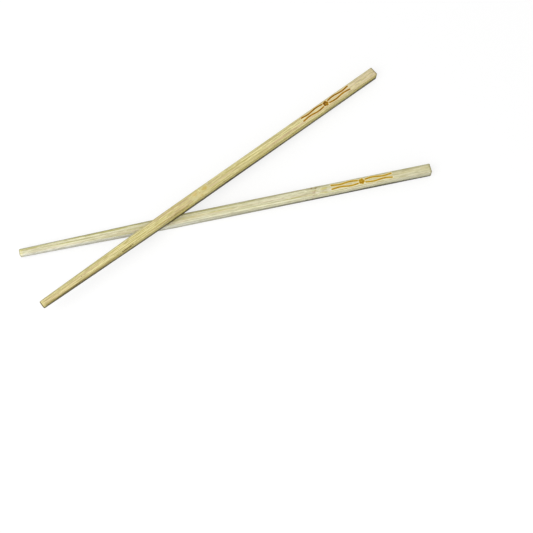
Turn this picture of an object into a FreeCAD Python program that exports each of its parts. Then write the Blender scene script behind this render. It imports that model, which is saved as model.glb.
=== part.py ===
import FreeCAD, Part
import math
import os

# A pair of bamboo chopsticks lying crossed on a table, in millimetres.
# Each stick is one piece of bamboo: a square handle, then a taper that rounds off towards the tip.
# Two wavy lines with a small blossom between them are burnt into the top of each handle.
# +X runs along the lower stick from its tip to its head, and +Z is up.
# The origin is at the bottom centre of the pair's bounding box, on the table.

# One stick, with its stations measured from the tip
stick_length = 230.0
handle_side = 5.6
handle_edge_radius = 0.6
tip_side = 4.2
tip_edge_radius = 1.5
taper_length = 88.0
taper_bend_length = 44.0
head_end_radius = 0.5
tip_end_radius = 0.5

# How the pair lies
crossing_angle = 26.3
lower_crossing_station = 80.0
upper_crossing_station = 79.7
rest_gap = 0.02

# The burnt ornament on each stick, with its middle measured from the head and to the left of the axis
lower_ornament_from_head = 39.6
lower_ornament_aside = 0.25
upper_ornament_from_head = 36.3
upper_ornament_aside = 0.4

# The ornament's lines, with the wavy ones measured along the stick from the blossom's centre
burn_depth = 0.15
wave_start = 2.3
wave_end = 17.0
wave_crest = 6.3
wave_length = 12.4
wave_middle = 1.0
wave_swing = 0.28
wave_line_width = 0.5
petal_count = 5
petal_radius = 0.62
petal_ring_radius = 0.95
blossom_eye_radius = 0.3

# How finely curves are followed, how near counts as the same place, and how far cutters stand proud
wave_points = 23
settling_steps = 8
same_place = 1e-3
cutter_clearance = 0.5

# The taper's sides slope by an angle and would meet the handle at half_bend before the bend's end
half_bend = taper_bend_length / 2
taper_angle = math.atan((handle_side - tip_side) / 2 / (taper_length - half_bend))
bend_start = taper_length - half_bend - half_bend * math.cos(taper_angle)

# The rounding round each end is kept under that of the long edges that run into it
end_share = 0.9
head_rounding = min(head_end_radius, end_share * handle_edge_radius)
tip_rounding = min(tip_end_radius, end_share * tip_edge_radius)

ORIGIN = FreeCAD.Vector(0, 0, 0)
ALONG = FreeCAD.Vector(1, 0, 0)
ACROSS = FreeCAD.Vector(0, 1, 0)
UP = FreeCAD.Vector(0, 0, 1)


def side_profile():
    """The stick seen from the side. Its edges run straight from the tip, then bend along an arc
    that ends level with the handle."""
    handle_half = handle_side / 2
    radius = half_bend / math.tan(taper_angle / 2)
    middle_back = radius * math.sin(taper_angle / 2)
    middle_drop = radius * (1 - math.cos(taper_angle / 2))
    tip = (0.0, tip_side / 2)
    start = (bend_start, handle_half - half_bend * math.sin(taper_angle))
    middle = (taper_length - middle_back, handle_half - middle_drop)
    end = (taper_length, handle_half)
    head = (stick_length, handle_half)

    def upper(place):
        return FreeCAD.Vector(place[0], 0, place[1])

    def lower(place):
        return FreeCAD.Vector(place[0], 0, -place[1])

    outline = [
        Part.LineSegment(lower(tip), upper(tip)),
        Part.LineSegment(upper(tip), upper(start)),
        Part.Arc(upper(start), upper(middle), upper(end)),
        Part.LineSegment(upper(end), upper(head)),
        Part.LineSegment(upper(head), lower(head)),
        Part.LineSegment(lower(head), lower(end)),
        Part.Arc(lower(end), lower(middle), lower(start)),
        Part.LineSegment(lower(start), lower(tip)),
    ]
    return Part.Face(Part.Wire([curve.toShape() for curve in outline]))


def squared_stick():
    """The stick with sharp edges: what its side profile and the same profile seen from above share."""
    profile = side_profile()
    profile.translate(ACROSS * -handle_side)
    slab = profile.extrude(ACROSS * (2 * handle_side))
    turned = slab.copy()
    turned.rotate(ORIGIN, ALONG, 90)
    return slab.common(turned).Solids[0]


def is_sharp_bend(edge):
    """Whether an edge runs along a sharp corner of the bend, where Y and Z are equally far out."""
    ends = edge.Vertexes
    in_bend = all(bend_start - same_place < v.X < taper_length + same_place for v in ends)
    on_corner = all(abs(abs(v.Y) - abs(v.Z)) < same_place for v in ends)
    return in_bend and on_corner and abs(ends[0].X - ends[-1].X) > same_place


def rounded_corners(body):
    """The stick with its four long edges rounded. The radius changes over the bend, and each rounding
    goes on from there to the tip and to the head."""
    for _ in range(4):
        bend = next(edge for edge in body.Edges if is_sharp_bend(edge))
        radii = [tip_edge_radius, handle_edge_radius]
        if bend.firstVertex().X > bend.lastVertex().X:
            radii.reverse()
        body = body.makeFillet(*radii, [bend])
    return body


def rounded_end(body, station, radius):
    """The body with the rim of its flat end at a station rounded."""
    rim = [e for e in body.Edges if all(abs(v.X - station) < same_place for v in e.Vertexes)]
    return body.makeFillet(radius, rim)


def plain_stick():
    """A stick without its ornament, with its axis on X, its tip at 0 and its sides facing Y and Z."""
    body = rounded_corners(squared_stick())
    body = rounded_end(body, stick_length, head_rounding)
    body = rounded_end(body, 0.0, tip_rounding)
    return body.Solids[0]


def wave_place(along, side):
    """A point on the middle of a wavy line and the line's direction there, seen from above.
    The line swings about wave_middle as a cosine; side is 1 left of the stick's axis and -1 right."""
    phase = 2 * math.pi * (along - wave_crest) / wave_length
    aside = wave_middle + wave_swing * math.cos(phase)
    slope = -wave_swing * math.sin(phase) * 2 * math.pi / wave_length
    direction = FreeCAD.Vector(1, side * slope, 0).normalize()
    return FreeCAD.Vector(along, side * aside, 0), direction


def smooth_curve(points):
    curve = Part.BSplineCurve()
    curve.interpolate(points)
    return curve


def wave_face(side):
    """One wavy line as a flat band with round ends."""
    half_width = wave_line_width / 2
    left, right = [], []
    for n in range(wave_points):
        along = wave_start + (wave_end - wave_start) * n / (wave_points - 1)
        place, direction = wave_place(along, side)
        left.append(place + UP.cross(direction) * half_width)
        right.append(place - UP.cross(direction) * half_width)
    start, start_direction = wave_place(wave_start, side)
    end, end_direction = wave_place(wave_end, side)
    outline = [
        smooth_curve(left),
        Part.Arc(left[-1], end + end_direction * half_width, right[-1]),
        smooth_curve(right),
        Part.Arc(right[0], start - start_direction * half_width, left[0]),
    ]
    return Part.Face(Part.Wire([curve.toShape() for curve in outline]))


def blossom(height):
    """Round petals set on a ring, with the eye of the blossom left out."""
    disc = Part.makeCylinder(petal_ring_radius, height)
    petals = []
    for n in range(petal_count):
        angle = 2 * math.pi * n / petal_count
        place = FreeCAD.Vector(math.cos(angle), math.sin(angle), 0) * petal_ring_radius
        petals.append(Part.makeCylinder(petal_radius, height, place))
    eye = Part.makeCylinder(blossom_eye_radius, height)
    return disc.fuse(petals).removeSplitter().cut(eye)


def ornament():
    """The burnt ornament as solids that reach burn_depth below Z = 0, its blossom at the origin.
    Two wavy lines run from the blossom towards the head and two towards the tip."""
    height = burn_depth + cutter_clearance
    pieces = [blossom(height)]
    for side in (1, -1):
        line = wave_face(side).extrude(UP * height)
        opposite = line.copy()
        opposite.rotate(ORIGIN, UP, 180)
        pieces += [line, opposite]
    for piece in pieces:
        piece.translate(UP * -burn_depth)
    return pieces


def burnt(body, from_head, aside):
    """A stick with the ornament burnt into the top of its handle."""
    place = FreeCAD.Vector(stick_length - from_head, aside, handle_side / 2)
    pieces = ornament()
    for piece in pieces:
        piece.translate(place)
    return body.cut(pieces).Solids[0]


def lay_lower(body):
    """The lower stick lies with the flat of its handle on the table."""
    laid = body.copy()
    laid.translate(UP * (handle_side / 2))
    return laid


def lay_upper(body, tilt):
    """The upper stick stands on the rounded bottom edge of its head with its tip raised by a tilt,
    turned so that the axes cross at the two crossing stations."""
    laid = lay_lower(body)
    head_edge = FreeCAD.Vector(stick_length - head_rounding, 0, head_rounding)
    laid.rotate(head_edge, ACROSS, tilt)
    laid.translate(FreeCAD.Vector(lower_crossing_station - upper_crossing_station, 0, 0))
    laid.rotate(FreeCAD.Vector(lower_crossing_station, 0, 0), UP, crossing_angle)
    return laid


def resting_tilt(body, lower):
    """The tilt at which the upper stick rests on the lower one. It starts well clear of it and is let
    down by the gap that is left, over a lever that is a little too long, so it never goes too far."""
    lever = stick_length - upper_crossing_station
    tilt = math.degrees(math.asin(2 * handle_side / lever))
    for _ in range(settling_steps):
        gap = lay_upper(body, tilt).distToShape(lower)[0]
        tilt -= math.degrees((gap - rest_gap) / lever)
    return tilt


def main():
    body = plain_stick()
    tilt = resting_tilt(body, lay_lower(body))
    lower = burnt(body, lower_ornament_from_head, lower_ornament_aside)
    upper = burnt(body, upper_ornament_from_head, upper_ornament_aside)
    sticks = {
        "lower_chopstick": lay_lower(lower),
        "upper_chopstick": lay_upper(upper, tilt),
    }
    box = FreeCAD.BoundBox()
    for shape in sticks.values():
        box.add(shape.optimalBoundingBox(False, False))
    to_origin = FreeCAD.Vector(-box.Center.x, -box.Center.y, -box.ZMin)
    os.makedirs("parts", exist_ok=True)
    for name, shape in sticks.items():
        shape.translate(to_origin)
        shape.exportStep(f"parts/{name}.step")
        print(name, "valid:", shape.isValid(), "volume:", round(shape.Volume, 2), "mm3")
    gap = sticks["lower_chopstick"].distToShape(sticks["upper_chopstick"])[0]
    print("tip of the lower stick at", [round(c, 4) for c in to_origin])
    print("tilt of the upper stick:", round(tilt, 4), "degrees, gap between the sticks:", round(gap, 4), "mm")


main()
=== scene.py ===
import math

import bpy
import mathutils
import numpy as np
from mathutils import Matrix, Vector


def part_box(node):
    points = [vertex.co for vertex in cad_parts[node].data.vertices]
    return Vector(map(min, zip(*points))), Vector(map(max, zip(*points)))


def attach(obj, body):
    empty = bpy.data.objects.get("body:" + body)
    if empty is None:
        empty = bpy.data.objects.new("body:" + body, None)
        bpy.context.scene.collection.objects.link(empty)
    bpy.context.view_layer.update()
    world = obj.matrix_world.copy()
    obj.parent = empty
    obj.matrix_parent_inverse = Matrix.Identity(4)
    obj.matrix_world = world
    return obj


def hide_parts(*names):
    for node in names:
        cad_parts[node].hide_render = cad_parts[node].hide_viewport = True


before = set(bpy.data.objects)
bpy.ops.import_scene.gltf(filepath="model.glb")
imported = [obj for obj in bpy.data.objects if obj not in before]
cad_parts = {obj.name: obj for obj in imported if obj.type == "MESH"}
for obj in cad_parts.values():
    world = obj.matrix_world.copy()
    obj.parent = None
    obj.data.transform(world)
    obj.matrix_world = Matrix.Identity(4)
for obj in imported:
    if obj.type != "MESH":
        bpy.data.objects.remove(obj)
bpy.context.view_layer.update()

# A crossed pair of bamboo chopsticks. Sizes are in millimetres until a mesh is written, and a stick's
# own places are (station from the tip, across, up) with its axis through zero. A noise's cells are per
# millimetre along, across and through the stick.
mm = 0.001

stick = {
    "length": 230.0,
    "handleSide": 5.6,
    "handleEdge": 0.6,
    "tipSidePaintedLight": 4.2,
    "tipEdge": 1.5,
    "taperLength": 88.0,
    "bendLength": 44.0,
    "headRounding": 0.5,
    "tipRounding": 0.5,
    "sidePoints": (20, 46, 20, 16),  # points along the left, top, right and bottom flats
    "cornerPoints": (8, 8, 6, 6),
    "rowSpacing": 0.95,
    "rowProbes": 9000,
    "roundingRows": 6,
    "endRings": 8,
    "bakeRows": 3,  # lengths of the stick laid side by side in its map
    "bakeMargin": 0.01,
}

ornament = {
    "depth": 0.15,
    "start": 2.3,
    "end": 17.0,
    "crest": 6.3,
    "waveLength": 12.4,
    "middle": 1.0,
    "swing": 0.28,
    "lineWidth": 0.5,
    "petals": 5,
    "petalRadius": 0.62,
    "petalRing": 0.95,
    "eyeRadius": 0.3,
    "wallWidth": 0.12,
    "facingUp": 0.9,  # only what faces up by more than this is burnt
    "farAway": 3.0,
    "rowSpacing": 0.14,
    "rowMargin": 1.5,
}

bambooNode = {
    "width": 1.1,
    "lift": 0.05,
    "rowSpacing": 0.3,
    "rowMargin": 4.0,
    "wander": 1.6,  # how far its line strays
    "wanderCells": (0, 0.9, 0.9),
    "wanderShift": 7,
    "wanderSeed": 5,
    "swirl": 1.8,  # how far the fibres are pushed aside at a node
    "swirlReach": 4.5,
    "swirlCells": (0.3, 0.8, 0.8),
}

relief = {
    "grooveDepth": 0.022,
    "grooveCells": (0.035, 2.6, 2.6),
    "planing": 0.05,  # the knife's slow ups and downs
    "planingCells": (0.06, 0.12, 0.12),
    "planingSeed": 3,
}

lattice = {
    "heights": 4096,
    "primes": (73856093, 19349663, 83492791),  # they turn a corner's three numbers into one
}

pair = {
    "crossingAngle": 26.3,
    "lowerCrossing": 80.0,
    "upperCrossing": 79.7,
    "upperTilt": 2.2945,
}

# What sets each stick apart. Tones run along its top as (share of its length, colour as seen); on the
# lower stick one of them is painted light that lifts the upper stick's shadow near the crossing. The near
# tone lies over them towards the side that the camera sees, as painted light on the lower stick and
# painted shade on the upper. Side is painted light that brightens the sides, the tip side colour lies over
# it near the tip as painted light on the lower stick and painted shade on the upper, and the dark colour
# along the bottom is painted shade. Each of these has (first station, last station, strength at the first,
# strength at the last).
# The painted shade along the bottom fades in between its first two numbers, places down the section from
# -1 at its top to 1. Marks are (station, across, half length, half width, colour, strength).
sticks = {
    "lower_chopstick": {
        "piece": "lower_stick_bamboo",
        "slot": "pale_bamboo",
        "ornamentFromHead": 39.6,
        "ornamentAside": 0.25,
        "nodeStation": 163.5,
        "nodeSlant": 0.55,
        "nodeReach": 4.2,
        "nodeCalm": 0.25,  # how far the streaks fade at the node
        "seed": 11,
        "tonesAndPaintedLight": (
            (0.0, (230, 226, 196)),
            (0.09, (225, 219, 184)),
            (0.17, (215, 208, 150)),
            # painted light: this lighter tone lifts the upper stick's shadow near the crossing
            (0.29, (222, 215, 158)),
            (0.42, (214, 208, 146)),
            (0.48, (213, 207, 144)),
            (0.64, (220, 215, 180)),
            (0.85, (219, 211, 172)),
            (1.0, (217, 208, 164)),
        ),
        # painted light: the near tone brightens the top towards the near edge
        "nearPaintedLight": (226, 225, 201),
        "nearPaintedLightShare": 0.8,
        "yellow": (203, 197, 126),
        "blush": (223, 208, 176),
        "pale": (243, 240, 206),
        "fibre": (166, 160, 112),
        # painted light: the side colour brightens the sides
        "side": (255, 251, 212),
        "sidePaintedLightShare": 0.9,
        "sidePaintedLightAlong": (145.0, 215.0, 1.0, 0.15),
        # painted light: the tip side colour lightens the sides near the tip
        "tipSidePaintedLight": (254, 254, 244),
        "tipSidePaintedLightAlong": (60.0, 150.0, 0.8, 0.0),
        # painted shade: the dark colour along the bottom of the sides
        "bottomShade": (34, 32, 12),
        "bottomShadeFrom": -0.12,
        "bottomShadeTo": 0.42,
        "bottomShadeAlong": (70.0, 185.0, 0.25, 1.0),
        "end": (150, 141, 92),
        "node": (226, 220, 184),
        "nodeSpot": (168, 130, 86),
        "marks": (
            (162.1, 2.5, 0.7, 0.5, (150, 108, 48), 0.9),
            (164.9, 2.2, 0.9, 0.45, (158, 132, 76), 0.8),
            (163.0, -0.1, 0.9, 0.5, (212, 184, 158), 0.7),
            (164.8, -1.3, 1.5, 0.55, (246, 238, 212), 0.9),
            (169.0, 0.6, 2.6, 0.7, (214, 203, 130), 0.65),
            (168.4, -1.9, 3.0, 0.55, (213, 205, 140), 0.6),
            (172.0, -0.3, 1.7, 3.0, (232, 228, 202), 0.4),
            (161.0, -2.9, 0.6, 0.7, (150, 142, 72), 0.7),
        ),
        "scorch": (208, 172, 40),
        "deepScorch": (170, 124, 8),
        "deepSide": 0.25,  # how far the burnt lines darken on their far side
        "farEdge": 0.75,
    },
    "upper_chopstick": {
        "piece": "upper_stick_bamboo",
        "slot": "straw_bamboo",
        "ornamentFromHead": 36.3,
        "ornamentAside": 0.4,
        "nodeStation": 103.2,
        "nodeSlant": -0.3,
        "nodeReach": 6.0,
        "nodeCalm": 0.7,
        "seed": 29,
        "tonesAndPaintedLight": (
            (0.0, (218, 210, 156)),
            (0.15, (224, 215, 156)),
            (0.28, (230, 220, 158)),
            (0.45, (230, 219, 160)),
            (0.62, (220, 208, 150)),
            (0.78, (220, 207, 150)),
            (0.92, (238, 226, 203)),
            (1.0, (236, 223, 199)),
        ),
        # painted shade: the near tone darkens the top towards the near edge
        "nearPaintedLight": (214, 203, 146),
        "nearPaintedLightShare": 0.3,
        "yellow": (206, 193, 112),
        "blush": (226, 200, 160),
        "pale": (243, 233, 172),
        "fibre": (158, 143, 82),
        # painted light: the side colour brightens the sides and makes them yellower
        "side": (240, 226, 128),
        "sidePaintedLightShare": 0.72,
        "sidePaintedLightAlong": (150.0, 215.0, 1.0, 1.25),
        # painted shade: the tip side colour darkens the sides near the tip
        "tipSidePaintedLight": (160, 144, 88),
        "tipSidePaintedLightAlong": (25.0, 85.0, 0.75, 0.0),
        # painted shade: the dark colour along the bottom of the sides
        "bottomShade": (44, 32, 2),
        "bottomShadeFrom": -0.22,
        "bottomShadeTo": 0.24,
        "bottomShadeAlong": (0.0, 100.0, 0.85, 1.0),
        "end": (114, 99, 44),
        "node": (214, 202, 138),
        "nodeSpot": (206, 170, 96),
        "marks": (
            (100.6, 0.7, 1.6, 1.0, (220, 194, 124), 0.7),
            (107.0, 0.4, 1.9, 1.1, (206, 180, 94), 0.8),
            (99.4, -1.5, 2.0, 0.8, (210, 208, 160), 0.55),
            (103.8, 1.2, 0.5, 1.4, (238, 232, 168), 0.8),
            (110.2, 2.0, 0.6, 0.6, (240, 234, 206), 0.8),
            (25.2, -0.6, 0.45, 0.3, (120, 100, 48), 0.9),
            (33.9, -2.0, 0.5, 0.35, (176, 128, 84), 0.8),
            (53.0, -2.35, 8.0, 0.30, (100, 78, 26), 0.9),
            (88.0, -2.55, 9.0, 0.22, (120, 100, 40), 0.8),
        ),
        "scorch": (198, 146, 0),
        "deepScorch": (112, 70, 0),
        "deepSide": 0.75,
        "farEdge": 0.38,
    },
}


# the stick's form

# Half the section's side: level on the handle, on an arc over the bend, then straight down to the tip.
def halfSideAt(station):
    halfBend = stick["bendLength"] / 2
    drop = (stick["handleSide"] - stick["tipSidePaintedLight"]) / 2
    angle = math.atan(drop / (stick["taperLength"] - halfBend))
    radius = halfBend / math.tan(angle / 2)
    bendStart = stick["taperLength"] - halfBend - halfBend * math.cos(angle)
    back = np.clip(stick["taperLength"] - station, 0, None)
    onArc = stick["handleSide"] / 2 - radius + np.sqrt(radius ** 2 - np.minimum(back, radius) ** 2)
    onSlope = stick["tipSidePaintedLight"] / 2 + station * math.tan(angle)
    return np.where(station < bendStart, onSlope, onArc)


# The rounding of the long edges: the tip's up to the bend, the handle's after it, even change between.
def edgeRadiusAt(station):
    bendStart = stick["taperLength"] - stick["bendLength"]
    return np.interp(station, (bendStart, stick["taperLength"]), (stick["tipEdge"], stick["handleEdge"]))


# Points round a section. Each is core * flat + outward * radius, where core runs round a square with
# corners at plus and minus 1 and outward is the direction that the surface faces.
def sectionTemplate():
    core, outward = [], []
    for side in range(4):
        turn = side * math.pi / 2
        across = np.array((math.cos(turn), math.sin(turn)))
        along = np.array((-math.sin(turn), math.cos(turn)))
        run = np.linspace(-1, 1, stick["sidePoints"][side], endpoint=False)
        core.append(across + run[:, None] * along)
        outward.append(np.tile(across, (len(run), 1)))
        angles = np.linspace(0, math.pi / 2, stick["cornerPoints"][side], endpoint=False)
        core.append(np.tile(across + along, (len(angles), 1)))
        outward.append(np.cos(angles)[:, None] * across + np.sin(angles)[:, None] * along)
    return np.concatenate(core), np.concatenate(outward)


# Stations of the rows between the rounded ends, closer together round the ornament and the node. Rows
# per millimetre is the larger of the plain count and a count that fades in over the last millimetre
# before each fine stretch, which is given as (its middle, its reach each way, its spacing).
def rowStations(fineStretches):
    probe = np.linspace(stick["tipRounding"], stick["length"] - stick["headRounding"], stick["rowProbes"])
    rowsPerMm = np.full_like(probe, 1 / stick["rowSpacing"])
    for centre, reach, spacing in fineStretches:
        nearness = np.clip(1 + reach - np.abs(probe - centre), 0, 1)
        rowsPerMm = np.maximum(rowsPerMm, nearness / spacing)
    counted = np.concatenate(([0], np.cumsum((rowsPerMm[1:] + rowsPerMm[:-1]) / 2 * np.diff(probe))))
    return np.interp(np.linspace(0, counted[-1], int(counted[-1]) + 1), counted, probe)


# Every ring of the stick, tip first: its station, how far its rounding is drawn in, its shrink, and how
# far it faces the stick's end. Flat ends are rings that shrink towards the axis and face the end, a
# rounding is a quarter circle that turns by the cosine, and plain rows face outwards.
def ringPlan(fineStretches):
    quarter = np.linspace(0, math.pi / 2, stick["roundingRows"], endpoint=False)
    shrink = np.linspace(0, 1, stick["endRings"] + 1)[1:-1]
    rows = rowStations(fineStretches)
    stations = np.concatenate((
        np.zeros(len(shrink)),
        stick["tipRounding"] * (1 - np.cos(quarter)),
        rows,
        stick["length"] - stick["headRounding"] * (1 - np.cos(quarter))[::-1],
        np.full(len(shrink), stick["length"]),
    ))
    drawn = np.concatenate((
        np.full(len(shrink), stick["tipRounding"]),
        stick["tipRounding"] * (1 - np.sin(quarter)),
        np.zeros(len(rows)),
        stick["headRounding"] * (1 - np.sin(quarter))[::-1],
        np.full(len(shrink), stick["headRounding"]),
    ))
    scale = np.concatenate((shrink, np.ones(len(rows) + 2 * len(quarter)), shrink[::-1]))
    endwards = np.concatenate((
        np.full(len(shrink), -1.0),
        -np.cos(quarter),
        np.zeros(len(rows)),
        np.cos(quarter)[::-1],
        np.ones(len(shrink)),
    ))
    return stations, drawn, scale, endwards


# the ornament and the bamboo's own marks

# Distance from the edge of the nearest burnt line or petal, below zero inside it. A wavy line's middle is
# middle + swing * cos(phase) aside; the blossom is circles on a ring and a disc, less the eye.
def burnDistance(along, across):
    o = ornament
    run, aside = np.abs(along), np.abs(across)
    onLine = np.clip(run, o["start"], o["end"])
    phase = 2 * math.pi * (onLine - o["crest"]) / o["waveLength"]
    slope = -o["swing"] * np.sin(phase) * 2 * math.pi / o["waveLength"]
    offLine = (aside - o["middle"] - o["swing"] * np.cos(phase)) / np.sqrt(1 + slope ** 2)
    lines = np.hypot(run - onLine, offLine) - o["lineWidth"] / 2
    fromCentre = np.hypot(along, across)
    petalAngles = 2 * math.pi * np.arange(o["petals"]) / o["petals"]
    petalAlong = along[..., None] - o["petalRing"] * np.cos(petalAngles)
    petalAcross = across[..., None] - o["petalRing"] * np.sin(petalAngles)
    petals = np.hypot(petalAlong, petalAcross).min(-1) - o["petalRadius"]
    blossom = np.minimum(petals, fromCentre - o["petalRing"])
    blossom = np.maximum(blossom, o["eyeRadius"] - fromCentre)
    return np.minimum(lines, blossom)


# Smooth noise from 0 to 1: each corner of a unit lattice has a fixed height, and a point takes the
# eased blend of its eight corners.
def latticeNoise(places, seed):
    heights = np.random.default_rng(seed).random(lattice["heights"])
    corner = np.floor(places).astype(np.int64)
    part = places - corner
    part = part * part * (3 - 2 * part)
    total = np.zeros(places.shape[:-1])
    for step in np.ndindex(2, 2, 2):
        index = np.bitwise_xor.reduce((corner + step) * lattice["primes"], axis=-1) % lattice["heights"]
        weight = np.prod(np.where(step, part, 1 - part), axis=-1)
        total += weight * heights[index]
    return total


# How far a place lies along the stick from the slanting, straying line of the bamboo's node.
def nodeOffset(places, facts):
    cells = places * bambooNode["wanderCells"] + bambooNode["wanderShift"]
    wander = bambooNode["wander"] * (latticeNoise(cells, facts["seed"] + bambooNode["wanderSeed"]) - 0.5)
    return places[..., 0] - facts["nodeStation"] - facts["nodeSlant"] * places[..., 1] - wander


# 1 on the node's line, falling off to both sides as a bell curve.
def nearNode(offset, width):
    return np.exp(-(offset / width) ** 2)


# Turns a stick's own places into places on the table: the lower stick's tip lies at the low end of its
# box, and its axis half a handle over the table.
def lieLower(places):
    low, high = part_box("lower_chopstick")
    tip = np.array((low[0], (low[1] + high[1]) / 2, low[2])) / mm
    return places + tip + (0, 0, stick["handleSide"] / 2)


# Places turned about an axis through a pivot: the two other coordinates mix by the cosine and the sine.
def turned(places, pivot, axis, degrees):
    first, second = [(1, 2), (2, 0), (0, 1)][axis]
    c, s = math.cos(math.radians(degrees)), math.sin(math.radians(degrees))
    moved = places - pivot
    result = moved.copy()
    result[..., first] = c * moved[..., first] - s * moved[..., second]
    result[..., second] = s * moved[..., first] + c * moved[..., second]
    return result + pivot


# The upper stick tilts about the bottom edge of its head, then turns about the crossing.
def lieUpper(places):
    raised = stick["handleSide"] / 2
    headEdge = np.array((stick["length"] - stick["headRounding"], 0, stick["headRounding"] - raised))
    moved = turned(places, headEdge, 1, pair["upperTilt"])
    moved = moved + (pair["lowerCrossing"] - pair["upperCrossing"], 0, 0)
    moved = turned(moved, np.array((pair["lowerCrossing"], 0, 0)), 2, pair["crossingAngle"])
    return lieLower(moved)


# One whole stick: rings of a rounded square carried along the axis, closed by a point at each end.
# Grooves and the burnt lines go into the surface, and the node stands a little out of it.
def makeStick(facts, lie):
    blossomStation = stick["length"] - facts["ornamentFromHead"]
    stations, drawn, scale, endwards = ringPlan((
        (blossomStation, ornament["end"] + ornament["rowMargin"], ornament["rowSpacing"]),
        (facts["nodeStation"], bambooNode["rowMargin"], bambooNode["rowSpacing"]),
    ))
    core, outward = sectionTemplate()
    radius = edgeRadiusAt(stations)
    flat = halfSideAt(stations) - radius
    section = flat[:, None, None] * core + (radius - drawn)[:, None, None] * outward
    places = np.empty(section.shape[:2] + (3,))
    places[..., 0] = stations[:, None]
    places[..., 1:] = section * scale[:, None, None]

    # the wall of the burnt recess is centred on the edge of its line
    isSide = (scale == 1)[:, None]
    onTop = (outward[:, 1] > ornament["facingUp"])[None, :] & isSide
    distance = burnDistance(places[..., 0] - blossomStation, places[..., 1] - facts["ornamentAside"])
    distance = np.where(onTop, np.minimum(distance, ornament["farAway"]), ornament["farAway"])
    recess = ornament["depth"] * np.clip(0.5 - distance / ornament["wallWidth"], 0, 1)
    grooves = relief["grooveDepth"] * latticeNoise(places * relief["grooveCells"], facts["seed"])
    offset = nodeOffset(places, facts)
    lift = bambooNode["lift"] * nearNode(offset, bambooNode["width"])
    knife = latticeNoise(places * relief["planingCells"], facts["seed"] + relief["planingSeed"])
    height = np.where(isSide, lift + relief["planing"] * (knife - 1) - recess - grooves, 0)
    surface = places.copy()
    surface[..., 1:] += height[..., None] * outward

    # the fibres are pushed aside where they pass the node, by a noise of its own in each direction
    push = bambooNode["swirl"] * nearNode(offset, bambooNode["swirlReach"])
    grain = places.copy()
    for axis in (1, 2):
        noise = latticeNoise(places * bambooNode["swirlCells"] + axis, facts["seed"] + axis)
        grain[..., axis] += push * (noise - 0.5)

    # which way the surface faces, and how far down the section it lies
    facing = np.empty(places.shape)
    facing[..., 0] = endwards[:, None]
    facing[..., 1:] = np.sqrt(1 - endwards ** 2)[:, None, None] * outward
    down = -places[..., 2] / halfSideAt(stations)[:, None]

    poles = np.array(((0, 0, 0), (stick["length"], 0, 0)))
    mesh = ringMesh(facts["piece"], lie(surface), lie(poles))
    addAttribute(mesh, "grainPlace", "FLOAT_VECTOR", grain, poles)
    addAttribute(mesh, "facing", "FLOAT_VECTOR", facing, ((-1, 0, 0), (1, 0, 0)))
    addAttribute(mesh, "burnDistance", "FLOAT", distance, (ornament["farAway"], ornament["farAway"]))
    addAttribute(mesh, "nodeOffset", "FLOAT", offset, (stick["length"], stick["length"]))
    addAttribute(mesh, "down", "FLOAT", down, (0, 0))
    layForBaking(mesh, stations, core, outward)
    piece = bpy.data.objects.new(facts["piece"], mesh)
    bpy.context.scene.collection.objects.link(piece)
    return piece


# Lays the surface out flat. The way round the section runs up the map, and the length is cut into equal
# rows laid side by side; the end faces shrink towards a point beside their row's end.
def layForBaking(mesh, stations, core, outward):
    rows, margin = stick["bakeRows"], stick["bakeMargin"]
    shape = (stick["handleSide"] / 2 - stick["handleEdge"]) * core + stick["handleEdge"] * outward
    steps = np.hypot(*(np.roll(shape, -1, axis=0) - shape).T)
    around = np.concatenate(([0], np.cumsum(steps))) / steps.sum()

    # the rings of the flat ends go before and after the length, and each pole a little beyond them
    flatRings = stick["endRings"] - 1
    beyond = np.linspace(stick["handleSide"] / 2, 0, flatRings, endpoint=False)
    poleGap = beyond[0] / stick["endRings"]
    run = stations.copy()
    run[:flatRings] -= beyond
    run[-flatRings:] += beyond[::-1]
    run += poleGap - run[0]
    rowLength = (run[-1] + poleGap) / rows

    perRing, ringCount = len(core), len(stations)
    ring, point = np.meshgrid(np.arange(ringCount - 1), np.arange(perRing), indexing="ij")
    row = np.minimum((run[ring] + run[ring + 1]) / 2 // rowLength, rows - 1)

    def spot(ringIndex, pointIndex, rowIndex):
        along = (run[ringIndex] - rowIndex * rowLength) / rowLength
        up = (rowIndex + margin + around[pointIndex] * (1 - 2 * margin)) / rows
        return np.stack((margin + along * (1 - 2 * margin), up), -1)

    quads = np.stack((
        spot(ring, point, row),
        spot(ring, point + 1, row),
        spot(ring + 1, point + 1, row),
        spot(ring + 1, point, row),
    ), -2)
    p = np.arange(perRing)
    first, last = np.zeros(perRing, int), np.full(perRing, ringCount - 1)
    headRow = np.full(perRing, rows - 1)
    tipPoint = spot(first, p, first) * (0, 1) + (margin, 0)
    headPoint = spot(last, p, headRow) * (0, 1) + (1 - margin, 0)
    tipFan = np.stack((tipPoint, spot(first, p + 1, first), spot(first, p, first)), -2)
    headFan = np.stack((headPoint, spot(last, p, headRow), spot(last, p + 1, headRow)), -2)
    layer = mesh.uv_layers.new(name="OFBake")
    flatMap = np.concatenate([corners.ravel() for corners in (quads, tipFan, headFan)])
    layer.data.foreach_set("uv", flatMap.astype(np.float32))


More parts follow.
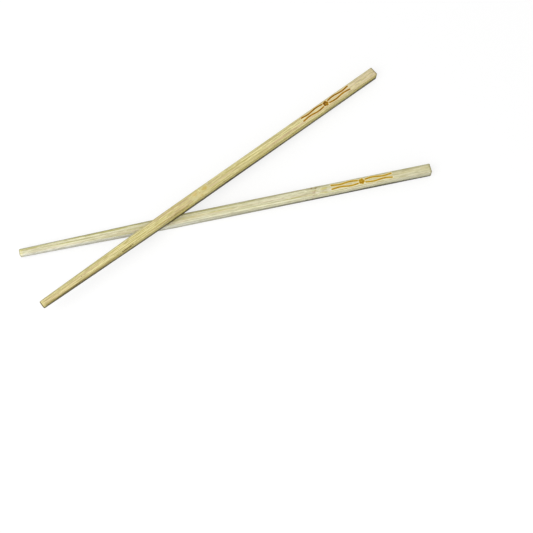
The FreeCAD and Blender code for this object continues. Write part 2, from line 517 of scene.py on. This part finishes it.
# A closed mesh from rings of points and a pole at each end: quads between rings and fans at the poles.
def ringMesh(name, rings, poles):
    ringCount, perRing = rings.shape[:2]
    index = np.arange(ringCount * perRing).reshape(ringCount, perRing)
    after = np.roll(index, -1, axis=1)
    quads = np.stack((index[:-1], after[:-1], after[1:], index[1:]), -1).reshape(-1, 4)
    tipPole, headPole = ringCount * perRing, ringCount * perRing + 1
    tipFan = np.stack((np.full(perRing, tipPole), after[0], index[0]), -1)
    headFan = np.stack((np.full(perRing, headPole), index[-1], after[-1]), -1)
    corners = np.concatenate((quads.ravel(), tipFan.ravel(), headFan.ravel()))
    sizes = np.concatenate((np.full(len(quads), 4), np.full(2 * perRing, 3)))
    starts = np.concatenate(([0], np.cumsum(sizes)[:-1]))
    points = np.concatenate((rings.reshape(-1, 3), poles)) * mm

    mesh = bpy.data.meshes.new(name)
    mesh.vertices.add(len(points))
    mesh.vertices.foreach_set("co", points.astype(np.float32).ravel())
    mesh.loops.add(len(corners))
    mesh.loops.foreach_set("vertex_index", corners.astype(np.int32))
    mesh.polygons.add(len(sizes))
    mesh.polygons.foreach_set("loop_start", starts.astype(np.int32))
    mesh.update(calc_edges=True)
    mesh.shade_smooth()
    if mesh.validate():
        print("the mesh of", name, "had to be mended")
    return mesh


# Stores a value at every point: those of the rings first, then those of the two poles.
def addAttribute(mesh, name, kind, onRings, atPoles):
    attribute = mesh.attributes.new(name, kind, "POINT")
    field = "vector" if kind == "FLOAT_VECTOR" else "value"
    values = np.concatenate((np.ravel(onRings), np.ravel(atPoles)))
    attribute.data.foreach_set(field, values.astype(np.float32))


# finishes

# A colour as it is seen on a screen, 0 to 255, turned into Blender's linear values by the screen's curve.
def seen(colour):
    parts = [c / 255 for c in colour]
    return tuple([c / 12.92 if c < 0.04045 else ((c + 0.055) / 1.055) ** 2.4 for c in parts] + [1.0])


# Short ways to add and join shader nodes in one material or world.
class Nodes:
    def __init__(self, tree):
        self.tree = tree
        tree.nodes.clear()

    def add(self, kind, **settings):
        node = self.tree.nodes.new(kind)
        for name, value in settings.items():
            setattr(node, name, value)
        return node

    def join(self, source, target):
        self.tree.links.new(source, target)

    def attribute(self, name, output="Fac"):
        return self.add("ShaderNodeAttribute", attribute_name=name).outputs[output]

    def maths(self, operation, *values):
        node = self.add("ShaderNodeMath", operation=operation)
        for socket, value in zip(node.inputs, values):
            if isinstance(value, (int, float)):
                socket.default_value = value
            else:
                self.join(value, socket)
        return node.outputs[0]

    def product(self, *values):
        result = values[0]
        for value in values[1:]:
            result = self.maths("MULTIPLY", result, value)
        return result

    # a number carried smoothly from one range to another, held at its ends
    def ranged(self, value, low, high, toLow=0.0, toHigh=1.0):
        node = self.add("ShaderNodeMapRange", interpolation_type="SMOOTHSTEP")
        self.join(value, node.inputs["Value"])
        for name, number in (("From Min", low), ("From Max", high), ("To Min", toLow), ("To Max", toHigh)):
            node.inputs[name].default_value = number
        return node.outputs["Result"]

    # a value pushed up and down by noise, whose middle is 0.5, by half the reach at most
    def wandering(self, value, noise, reach):
        return self.maths("MULTIPLY_ADD", self.maths("SUBTRACT", noise, 0.5), reach, value)

    def split(self, vector):
        node = self.add("ShaderNodeSeparateXYZ")
        self.join(vector, node.inputs[0])
        return node.outputs

    # a place times a scale plus a shift
    def stretched(self, vector, scale, shift):
        node = self.add("ShaderNodeVectorMath", operation="MULTIPLY_ADD")
        self.join(vector, node.inputs[0])
        node.inputs[1].default_value = scale
        node.inputs[2].default_value = shift
        return node.outputs[0]

    def length(self, vector):
        node = self.add("ShaderNodeVectorMath", operation="LENGTH")
        self.join(vector, node.inputs[0])
        return node.outputs["Value"]

    def noise(self, vector, detail=2.0, roughness=0.5):
        node = self.add("ShaderNodeTexNoise")
        self.join(vector, node.inputs["Vector"])
        node.inputs["Scale"].default_value = 1.0
        node.inputs["Detail"].default_value = detail
        node.inputs["Roughness"].default_value = roughness
        return node.outputs[0]

    # how far a place is from the middle of the nearest of many scattered cells
    def cellDistance(self, vector):
        node = self.add("ShaderNodeTexVoronoi", feature="F1")
        self.join(vector, node.inputs["Vector"])
        node.inputs["Scale"].default_value = 1.0
        return node.outputs["Distance"]

    def mixed(self, factor, first, second):
        node = self.add("ShaderNodeMix", data_type="RGBA")
        for value, socket in ((factor, node.inputs[0]), (first, node.inputs[6]), (second, node.inputs[7])):
            if isinstance(value, (int, float, tuple)):
                socket.default_value = value
            else:
                self.join(value, socket)
        return node.outputs[2]

    def ramp(self, value, stops):
        node = self.add("ShaderNodeValToRGB")
        elements = node.color_ramp.elements
        while len(elements) < len(stops):
            elements.new(1.0)
        for element, (place, colour) in zip(elements, stops):
            element.position = place
            element.color = seen(colour)
        self.join(value, node.inputs[0])
        return node.outputs[0]


bamboo = {
    "seedShift": (3.7, 1.3, 2.1),  # each stick's noise is shifted by its seed times this
    "patternShift": 5.3,
    "nodeEdgeCells": (0.1, 1.6, 1.6),
    "nodeEdgeWander": 3.0,
    "nodeStrength": 0.6,
    "fibreCells": (0.016, 3.4, 3.4),
    "fibreDetail": (3.0, 0.6),  # detail and roughness of the noise
    "fibreStrength": 0.8,
    "hairCells": (0.045, 9.0, 9.0),
    "hairDetail": (2.0, 0.6),
    "bundleCells": (0.008, 2.2, 2.2),
    "markCells": (0.9, 1.3, 1.3),
    "markWander": 1.6,
    "markDepth": 1.1,
    # how far the painted shade along the bottom strays
    "bottomShadeWander": 2.0,
    "poreCells": (0.0, 2.4, 2.4),
    "charWander": 0.3,
    "charLeast": 0.5,
    "specular": 0.16,
    "bumpHeight": 0.00003,  # metres
    "bumpStrength": 0.6,
    "tipBand": (240, 232, 166),
    "halo": (247, 238, 200),
    "olive": (118, 116, 66),
    "underside": (160, 144, 92),
    "pore": (84, 64, 30),
}

# Patterns of noise: its cells, the two of its values that the pattern fades in between, the pattern's
# strength, the noise's detail, and how many shifts keep it apart from the others.
patterns = {
    "broadStreaks": ((0.010, 0.34, 0.34), 0.46, 0.62, 0.2, 0.5, 3),
    "yellowStreaks": ((0.018, 1.15, 1.15), 0.50, 0.56, 0.95, 0.5, 0),
    "blushStreaks": ((0.020, 1.25, 1.25), 0.49, 0.57, 0.85, 0.5, 1),
    "paleLines": ((0.020, 1.4, 1.4), 0.51, 0.57, 0.95, 0.5, 2),
    "flecks": ((0.30, 1.8, 1.8), 0.50, 0.64, 0.45, 1.0, 5),
    "dashes": ((0.22, 1.9, 1.9), 0.51, 0.63, 0.55, 1.0, 0),
    "specks": ((0.45, 1.5, 1.5), 0.46, 0.58, 0.5, 0.5, 4),
    "scorchPatches": ((0.35, 1.1, 1.1), 0.42, 0.60, 1.0, 0.5, 0),
}

# Where tones fade: a value goes from the first number to the second while the strength goes from the
# third to the fourth. The value is named on the right.
fades = {
    "nodeZone": (-0.8, 0.9, 1.0, 0.0),  # millimetres outside the node's zone
    "headCalm": (196.0, 214.0, 1.0, 0.5),  # station
    "near": (-2.3, 0.0, 1.0, 0.0),  # place across
    # side and tip side say where the painted light and shade on the sides go
    "side": (-1.0, -0.5, 0.0, 1.0),  # place down the section, from -1 to 1
    "farSide": (-0.4, 0.4, 1.0, 0.4),  # how far the surface faces the far side
    "tipSidePaintedLight": (-1.0, -0.55, 0.0, 1.0),  # place down the section
    "bundleWidth": (-1.0, 0.7, 0.20, 0.42),  # place down the section
    "bundles": (0.45, 1.0, 0.85, 0.0),  # distance from a bundle's middle, in widths
    "fibres": (0.54, 0.60, 0.0, 0.75),  # noise
    "hairs": (0.56, 0.62, 0.0, 0.55),  # noise
    "nodeLine": (0.1, 1.0, 1.0, 0.0),  # millimetres from the node's line
    "mark": (0.55, 1.15, 1.0, 0.0),  # distance from a mark's middle, in half sizes
    "tipBand": (1.0, 2.4, 0.4, 0.0),  # station
    # the next three shape the painted shade along the bottom
    "bottomShadeHigher": (10.0, 80.0, 0.30, 0.0),  # station
    "farBottomShade": (-0.4, 0.4, 1.0, 0.3),  # how far the surface faces the far side
    "bottomShadeHairs": (0.38, 0.60, 0.84, 1.0),  # noise
    "underside": (-0.98, -0.85, 0.85, 0.0),  # how far the surface faces up
    "farCorner": (0.2, 0.6, 0.0, 0.7),  # how far the surface faces the far side
    "farTop": (1.15, 2.0, 0.0, 0.6),  # place across
    "facingUp": (0.1, 0.5, 0.0, 1.0),  # how far the surface faces up
    "pores": (0.20, 0.34, 0.6, 0.0),  # distance from a pore's middle
    "endFace": (0.1, 0.6, 0.0, 0.9),  # how far the surface faces along the stick
    # the head's line is painted shade round its rim
    "headShadeLine": (228.7, 229.5, 0.0, 1.0),  # station
    "headRim": (0.5, 0.9, 0.55, 0.0),  # how far the surface faces the head's end
    "halo": (0.25, 0.95, 0.7, 0.0),  # millimetres from the edge of a burnt line
    "browned": (0.13, 0.46, 0.98, 0.0),  # millimetres from the edge of a burnt line
    "charred": (-0.17, 0.13, 1.0, 0.0),  # millimetres from the edge of a burnt line
    "deepSide": (0.1, 1.0, 0.0, 1.0),  # place across
    "roughness": (0.3, 0.7, 0.40, 0.58),  # noise, and the roughness itself
}


# Planed bamboo. Yellow, blush and pale streaks and short flecks lie over a tone that changes along the
# stick, with painted light on the sides, painted light and shade near the tip and the near edge, painted
# shade along the bottom, and thin dark fibres that crowd together towards the bottom. The ornament is
# brown by its distance inwards.
def bambooMaterial(facts):
    material = bpy.data.materials.new(facts["slot"])
    material.use_nodes = True
    n = Nodes(material.node_tree)
    place = n.attribute("grainPlace", "Vector")
    along, across, _ = n.split(place)
    outX, outY, outZ = n.split(n.attribute("facing", "Vector"))
    down = n.attribute("down")

    def placeIn(cells, shifts=0):
        moved = [facts["seed"] * share + shifts * bamboo["patternShift"] for share in bamboo["seedShift"]]
        return n.stretched(place, cells, moved)

    def pattern(name):
        cells, low, high, strength, detail, shifts = patterns[name]
        return n.ranged(n.noise(placeIn(cells, shifts), detail), low, high, 0.0, strength)

    def faded(value, name):
        return n.ranged(value, *fades[name])

    # the node: streaks fade where the fibres swirl, with a ragged edge
    fromNode = n.maths("ABSOLUTE", n.attribute("nodeOffset"))
    fromZone = n.maths("SUBTRACT", fromNode, facts["nodeReach"])
    fromZone = n.wandering(fromZone, n.noise(placeIn(bamboo["nodeEdgeCells"])), bamboo["nodeEdgeWander"])
    nodeZone = faded(fromZone, "nodeZone")
    clear = n.maths("MULTIPLY_ADD", nodeZone, -facts["nodeCalm"], 1.0)
    clear = n.product(clear, faded(along, "headCalm"))

    # the tone along the stick, with painted light on the lower stick near the crossing, the near tone's
    # painted light and shade, the streaks and the flecks
    colour = n.ramp(n.maths("DIVIDE", along, stick["length"]), facts["tonesAndPaintedLight"])
    # painted light on the lower stick's near edge, painted shade on the upper's
    near = n.product(faded(across, "near"), facts["nearPaintedLightShare"])
    colour = n.mixed(near, colour, seen(facts["nearPaintedLight"]))
    yellow = n.maths("MAXIMUM", pattern("broadStreaks"), pattern("yellowStreaks"))
    colour = n.mixed(n.product(yellow, clear), colour, seen(facts["yellow"]))
    colour = n.mixed(n.product(pattern("blushStreaks"), clear), colour, seen(facts["blush"]))
    colour = n.mixed(n.product(pattern("paleLines"), clear), colour, seen(facts["pale"]))
    colour = n.mixed(pattern("flecks"), colour, seen(facts["pale"]))

    # painted light that brightens the sides, and near the tip painted light on the lower stick and painted
    # shade on the upper
    side = n.product(faded(down, "side"), facts["sidePaintedLightShare"], n.ranged(along, *facts["sidePaintedLightAlong"]))
    side = n.product(side, faded(outY, "farSide"))
    colour = n.mixed(side, colour, seen(facts["side"]))
    # near the tip: painted light on the lower stick, painted shade on the upper
    tipSidePaintedLight = n.product(faded(down, "tipSidePaintedLight"), n.ranged(along, *facts["tipSidePaintedLightAlong"]))
    colour = n.mixed(tipSidePaintedLight, colour, seen(facts["tipSidePaintedLight"]))

    # dark fibres, finer hairs and bundles that get wider towards the bottom
    fine = n.noise(placeIn(bamboo["fibreCells"]), *bamboo["fibreDetail"])
    hair = n.noise(placeIn(bamboo["hairCells"]), *bamboo["hairDetail"])
    fromBundle = n.cellDistance(placeIn(bamboo["bundleCells"]))
    bundle = faded(n.maths("DIVIDE", fromBundle, faded(down, "bundleWidth")), "bundles")
    dark = n.maths("MAXIMUM", n.maths("MAXIMUM", bundle, faded(fine, "fibres")), faded(hair, "hairs"))
    dark = n.maths("MAXIMUM", n.product(dark, clear), pattern("dashes"))
    colour = n.mixed(n.product(dark, bamboo["fibreStrength"]), colour, seen(facts["fibre"]))

    # the node's own tone, its thin line and the marks, whose distance is measured in half sizes
    nodeTone = n.product(nodeZone, facts["nodeCalm"], bamboo["nodeStrength"])
    colour = n.mixed(nodeTone, colour, seen(facts["node"]))
    nodeLine = n.product(faded(fromNode, "nodeLine"), pattern("specks"))
    colour = n.mixed(nodeLine, colour, seen(facts["nodeSpot"]))
    wander = n.noise(placeIn(bamboo["markCells"]))
    for station, aside, halfLength, halfWidth, tone, strength in facts["marks"]:
        middle = (station, aside, stick["handleSide"] / 2)
        halves = (halfLength, halfWidth, bamboo["markDepth"])
        scale = [1 / half for half in halves]
        shift = [-centre / half for centre, half in zip(middle, halves)]
        distance = n.wandering(n.length(n.stretched(place, scale, shift)), wander, bamboo["markWander"])
        colour = n.mixed(n.product(faded(distance, "mark"), strength), colour, seen(tone))

    # a lighter band at the tip, painted shade along the bottom, which reaches higher there, and the
    # underside
    colour = n.mixed(faded(along, "tipBand"), colour, seen(bamboo["tipBand"]))
    lowness = n.maths("ADD", down, faded(along, "bottomShadeHigher"))
    # painted shade, darker towards the bottom of the section
    bottomShade = n.ranged(n.wandering(lowness, fine, bamboo["bottomShadeWander"]), facts["bottomShadeFrom"], facts["bottomShadeTo"])
    bottomShade = n.product(bottomShade, n.ranged(along, *facts["bottomShadeAlong"]), faded(outY, "farBottomShade"))
    bottomShade = n.product(bottomShade, faded(hair, "bottomShadeHairs"))
    colour = n.mixed(bottomShade, colour, seen(facts["bottomShade"]))
    colour = n.mixed(faded(outZ, "underside"), colour, seen(bamboo["underside"]))

    # a line on the far top edge, the end faces with their pores, and a dark line round the head's rim that
    # is painted shade
    farEdge = n.maths("MAXIMUM", faded(outY, "farCorner"), faded(across, "farTop"))
    farEdge = n.product(farEdge, faded(outZ, "facingUp"), facts["farEdge"])
    colour = n.mixed(farEdge, colour, seen(bamboo["olive"]))
    pores = faded(n.cellDistance(placeIn(bamboo["poreCells"])), "pores")
    end = n.mixed(pores, seen(facts["end"]), seen(bamboo["pore"]))
    colour = n.mixed(faded(n.maths("ABSOLUTE", outX), "endFace"), colour, end)
    headShadeLine = n.product(faded(along, "headShadeLine"), faded(outX, "headRim"))
    colour = n.mixed(headShadeLine, colour, seen(facts["end"]))

    # the burnt lines: a light rim, then brown that deepens inwards, in patches and on the far side
    distance = n.attribute("burnDistance")
    colour = n.mixed(faded(distance, "halo"), colour, seen(bamboo["halo"]))
    colour = n.mixed(faded(distance, "browned"), colour, seen(facts["scorch"]))
    deepSide = n.product(faded(across, "deepSide"), facts["deepSide"])
    deep = n.maths("MAXIMUM", pattern("scorchPatches"), deepSide)
    deep = n.maths("MULTIPLY_ADD", deep, 1 - bamboo["charLeast"], bamboo["charLeast"])
    charred = faded(n.wandering(distance, fine, bamboo["charWander"]), "charred")
    colour = n.mixed(n.product(charred, deep), colour, seen(facts["deepScorch"]))

    shader = n.add("ShaderNodeBsdfPrincipled")
    n.join(colour, shader.inputs["Base Color"])
    n.join(faded(fine, "roughness"), shader.inputs["Roughness"])
    shader.inputs["Specular IOR Level"].default_value = bamboo["specular"]
    bump = n.add("ShaderNodeBump")
    bump.inputs["Distance"].default_value = bamboo["bumpHeight"]
    bump.inputs["Strength"].default_value = bamboo["bumpStrength"]
    n.join(n.maths("SUBTRACT", hair, dark), bump.inputs["Height"])
    n.join(bump.outputs[0], shader.inputs["Normal"])
    output = n.add("ShaderNodeOutputMaterial")
    n.join(shader.outputs[0], output.inputs["Surface"])
    return material


# table, light and camera

# Lamps as (watts, size, place), in metres. They all point at the middle of the pair.
lamps = {
    "key_light": (4.6, 0.8, (-0.50, -0.28, 0.85)),
    "fill_light": (9.9, 2.0, (-0.50, -1.10, 0.38)),
    "back_light": (4.2, 2.0, (0.45, 1.10, 0.50)),
}

studio = {
    "colour": (1.0, 1.0, 1.0, 1.0),
    "ambient": 0.47,
    "backdrop": 1.0,
}

# Metres, but for the drop. The table glows towards the camera, so that it looks white.
table = {
    "size": 80.0,
    "drop": 0.02,
    "colour": (0.3, 0.3, 0.3, 1.0),
    "glow": 0.735,
    "farGlow": 0.9,  # where the lamps hardly reach
    "lampReach": (0.3, 2.2),
}

# The photograph's view, from its edges: the point aimed at, the turn and height of the line of sight,
# and the focal length in pixels of a picture 533 pixels wide.
view = {
    "aim": (13.68, -51.37, 0.0),
    "turn": 12.517,
    "elevation": 69.90,
    "distance": 546.6,
    "focalPixels": 1010.6,
    "pictureWidth": 533,
    "sensorWidth": 36.0,
    "clipStart": 10.0,
}


def intoScene(name, data, place=(0, 0, 0)):
    item = bpy.data.objects.new(name, data)
    item.location = place
    bpy.context.scene.collection.objects.link(item)
    return item


# Turns a lamp or a camera so that the direction it looks in, its own -Z, meets the aim.
def pointAt(item, aim):
    direction = mathutils.Vector(aim) - item.location
    item.rotation_euler = direction.to_track_quat("-Z", "Y").to_euler()


# 1 where the camera or a reflection sees a surface itself, and 0 where it only lights something
def seenDirectly(n):
    rays = n.add("ShaderNodeLightPath").outputs
    direct = n.maths("MAXIMUM", rays["Is Camera Ray"], rays["Is Glossy Ray"])
    return n.maths("MAXIMUM", direct, rays["Is Transmission Ray"])


# A flat square under the sticks: a matt grey that takes the shadow, plus a glow that the lamps' reach
# makes weaker near the middle.
def makeTable():
    half, z = table["size"] / 2, -table["drop"] * mm
    corners = [(-half, -half, z), (half, -half, z), (half, half, z), (-half, half, z)]
    mesh = bpy.data.meshes.new("table_top")
    mesh.from_pydata(corners, [], [(0, 1, 2, 3)])
    material = bpy.data.materials.new("white_table")
    material.use_nodes = True
    n = Nodes(material.node_tree)
    matt = n.add("ShaderNodeBsdfDiffuse")
    matt.inputs["Color"].default_value = table["colour"]
    glow = n.add("ShaderNodeEmission")
    away = n.length(n.add("ShaderNodeTexCoord").outputs["Object"])
    strength = n.ranged(away, *table["lampReach"], table["glow"], table["farGlow"])
    n.join(n.product(seenDirectly(n), strength), glow.inputs["Strength"])
    both = n.add("ShaderNodeAddShader")
    n.join(matt.outputs[0], both.inputs[0])
    n.join(glow.outputs[0], both.inputs[1])
    output = n.add("ShaderNodeOutputMaterial")
    n.join(both.outputs[0], output.inputs["Surface"])
    mesh.materials.append(material)
    intoScene("table_top", mesh)


# White all round: the backdrop's strength where it is seen, and the ambient light's where it only lights.
def makeWorld():
    world = bpy.data.worlds.new("studio")
    bpy.context.scene.world = world
    world.use_nodes = True
    n = Nodes(world.node_tree)
    sky = n.add("ShaderNodeBackground")
    sky.inputs["Color"].default_value = studio["colour"]
    strength = n.ranged(seenDirectly(n), 0.0, 1.0, studio["ambient"], studio["backdrop"])
    n.join(strength, sky.inputs["Strength"])
    output = n.add("ShaderNodeOutputWorld")
    n.join(sky.outputs[0], output.inputs["Surface"])


def makeLamp(name, watts, size, place):
    lamp = bpy.data.lights.new(name, "AREA")
    lamp.energy = watts
    lamp.size = size
    pointAt(intoScene(name, lamp, place), (0, 0, 0))


# The camera stands back from the aim along the line of sight, which the turn and the elevation give.
def makeCamera():
    camera = bpy.data.cameras.new("camera")
    camera.sensor_width = view["sensorWidth"]
    camera.lens = view["focalPixels"] * view["sensorWidth"] / view["pictureWidth"]
    camera.clip_start = view["clipStart"] * mm
    turn, elevation = math.radians(view["turn"]), math.radians(view["elevation"])
    level = math.cos(elevation)
    back = np.array((-math.sin(turn) * level, -math.cos(turn) * level, math.sin(elevation)))
    aim = np.array(view["aim"])
    item = intoScene("camera", camera, (aim + back * view["distance"]) * mm)
    pointAt(item, aim * mm)
    bpy.context.scene.camera = item


# making everything

for node, facts in sticks.items():
    piece = makeStick(facts, lieLower if node == "lower_chopstick" else lieUpper)
    piece.data.materials.append(bambooMaterial(facts))
    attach(piece, "root")
    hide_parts(node)
    print("made", facts["piece"], "with", len(piece.data.polygons), "faces")

makeTable()
makeWorld()
for name, (watts, size, place) in lamps.items():
    makeLamp(name, watts, size, place)
makeCamera()
bpy.context.scene.view_settings.view_transform = "Standard"
print("made the table, the lights and the camera")

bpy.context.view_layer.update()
